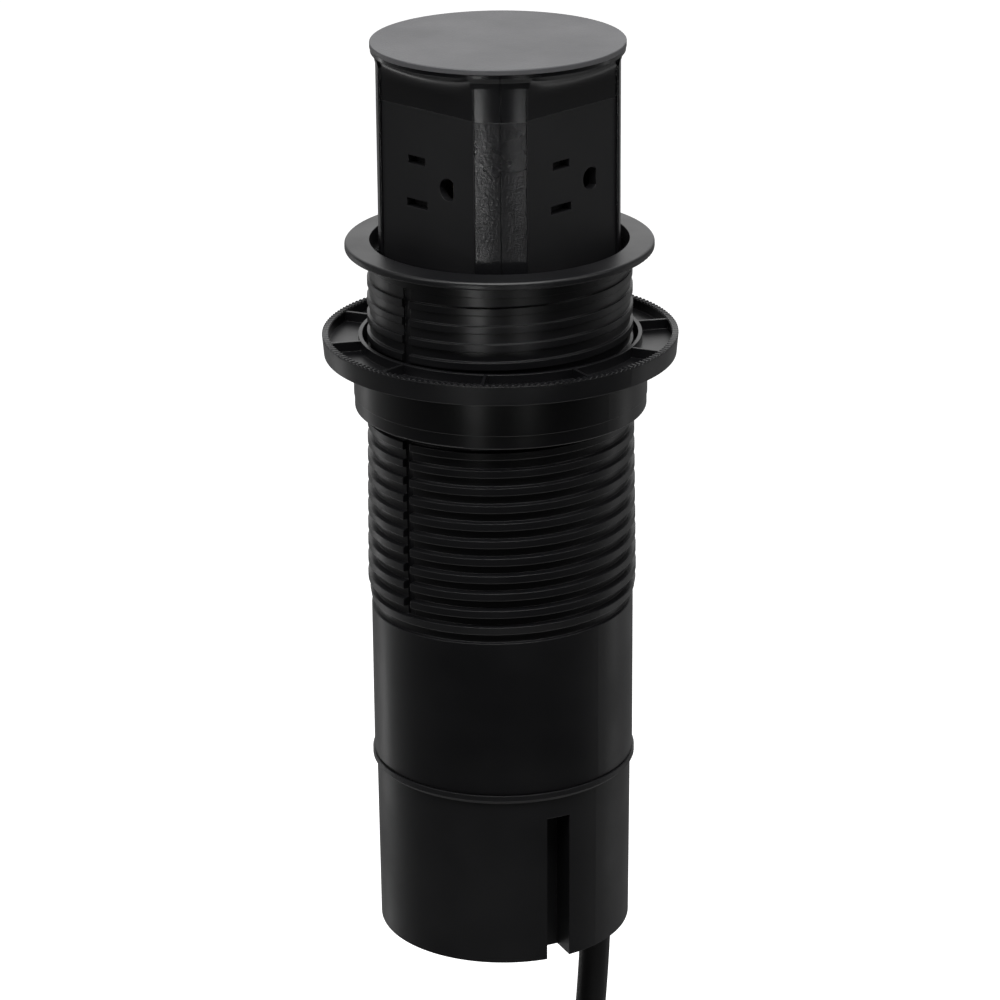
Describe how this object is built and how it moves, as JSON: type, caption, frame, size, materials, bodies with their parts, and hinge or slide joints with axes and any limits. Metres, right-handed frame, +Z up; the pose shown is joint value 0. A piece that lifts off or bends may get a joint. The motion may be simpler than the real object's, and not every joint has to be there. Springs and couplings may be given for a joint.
{
  "type": "pop up desk socket",
  "caption": "Round pop up desk socket: a sprung square turret of three-pin outlets in a threaded sleeve with a ribbed clamp ring and a mains cord.",
  "frame": {"origin": "centre of the flange's underside, where it sits on the desk top", "axes": "+Z up out of the desk, +X and +Y square to two of the turret's outlet faces"},
  "size_m": [0.104, 0.104, 0.5664],
  "materials": {
    "moulded_black": "satin, lightly grained",
    "gloss_black": "smooth and glossy",
    "face_black": "fine texture",
    "lid_grey": "fine satin texture",
    "inner_plastic": "natural moulding",
    "shutter_white": "smooth",
    "tie_plastic": "smooth",
    "screw_steel": "zinc plated",
    "spring_steel": "bright wire",
    "brass": "stamped",
    "cord_rubber": "matt sheath",
    "lead_rubber": "matt sheath",
    "core_insulation": "smooth"
  },
  "bodies": {
    "base": {"threaded_sleeve": "moulded_black", "base_cup": "moulded_black", "base_cover": "moulded_black", "cover_screws": "screw_steel", "mechanism_plate": "inner_plastic", "plate_screws": "screw_steel", "latch_pivot": "screw_steel", "lift_spring": "spring_steel", "service_lead": "lead_rubber", "base_lead": "lead_rubber", "damper_rack": "inner_plastic", "terminal_block": "inner_plastic", "terminal_screws": "brass", "terminal_cores": "core_insulation", "cable_gland": "cord_rubber", "mains_cord": "cord_rubber", "cord_hank": "cord_rubber", "hank_tie": "tie_plastic", "plug_body": "cord_rubber", "plug_blades": "brass", "plug_ground_pin": "brass"},
    "turret": {"damper_body": "inner_plastic", "carriage": "moulded_black", "spring_seat": "moulded_black", "latch_cam": "inner_plastic", "turret_screws": "screw_steel", "shell_left": "moulded_black", "shell_right": "moulded_black", "cap_left": "gloss_black", "cap_right": "gloss_black", "cap_screws": "screw_steel", "lid": "lid_grey", "neutral_bus": "brass", "ground_bus": "brass", "line_bus": "brass", "carrier_base": "inner_plastic", "carrier_screws": "screw_steel", "spacer_lower": "inner_plastic", "spacer_upper": "inner_plastic", "carrier_top_ring": "inner_plastic", "turret_lead": "lead_rubber", "turret_cores": "core_insulation", "outlet_face_east": "face_black", "shutter_spring_east": "spring_steel", "outlet_face_north": "face_black", "shutter_spring_north": "spring_steel", "outlet_face_west": "face_black", "shutter_spring_west": "spring_steel", "outlet_face_south": "face_black", "shutter_spring_south": "spring_steel"},
    "shutter_east": {"shutter_east": "shutter_white"},
    "shutter_north": {"shutter_north": "shutter_white"},
    "shutter_west": {"shutter_west": "shutter_white"},
    "shutter_south": {"shutter_south": "shutter_white"},
    "latch_follower": {"latch_follower": "screw_steel"},
    "damper_pinion": {"damper_pinion": "inner_plastic"},
    "clamp_disc": {"clamp_disc": "moulded_black"},
    "clamp_nut": {"clamp_nut": "gloss_black"}
  },
  "joints": [
    {"name": "turret_lift", "type": "slide", "parent": "base", "child": "turret", "axis": [0, 0, 1], "range_m": [-0.0603, 0], "stiffness_N_per_m": 200, "springref_m": 0.03, "deforming": ["lift_spring", "service_lead"]},
    {"name": "pinion_spin", "type": "hinge", "parent": "turret", "child": "damper_pinion", "pos_m": [-0.032, -0.0015, -0.032], "axis": [1, 0, 0], "range_deg": [-866, 4]},
    {"name": "latch_swing", "type": "hinge", "parent": "base", "child": "latch_follower", "pos_m": [0.0045, 0, -0.14], "axis": [-1, 0, 0], "range_deg": [0, 13.7], "stiffness_Nm_per_rad": 0.005, "springref_deg": -5.73},
    {"name": "disc_slide", "type": "slide", "parent": "base", "child": "clamp_disc", "axis": [0, 0, 1], "range_m": [-0.06, 0.0208]},
    {"name": "nut_turn", "type": "hinge", "parent": "clamp_disc", "child": "clamp_nut", "pos_m": [0, 0, -0.04], "axis": [0, 0, 1], "range_deg": [-4038, 1400]},
    {"name": "shutter_slide_east", "type": "slide", "parent": "turret", "child": "shutter_east", "axis": [0, 0, 1], "range_m": [-0.0036, 0], "stiffness_N_per_m": 60, "springref_m": 0.003, "deforming": ["shutter_spring_east"]},
    {"name": "shutter_slide_north", "type": "slide", "parent": "turret", "child": "shutter_north", "axis": [0, 0, 1], "range_m": [-0.0036, 0], "stiffness_N_per_m": 60, "springref_m": 0.003, "deforming": ["shutter_spring_north"]},
    {"name": "shutter_slide_west", "type": "slide", "parent": "turret", "child": "shutter_west", "axis": [0, 0, 1], "range_m": [-0.0036, 0], "stiffness_N_per_m": 60, "springref_m": 0.003, "deforming": ["shutter_spring_west"]},
    {"name": "shutter_slide_south", "type": "slide", "parent": "turret", "child": "shutter_south", "axis": [0, 0, 1], "range_m": [-0.0036, 0], "stiffness_N_per_m": 60, "springref_m": 0.003, "deforming": ["shutter_spring_south"]}
  ],
  "couplings": [
    {"joint": "pinion_spin", "follows": "turret_lift", "rad_per_m": 250},
    {"joint": "nut_turn", "follows": "disc_slide", "rad_per_m": 1174.4}
  ]
}
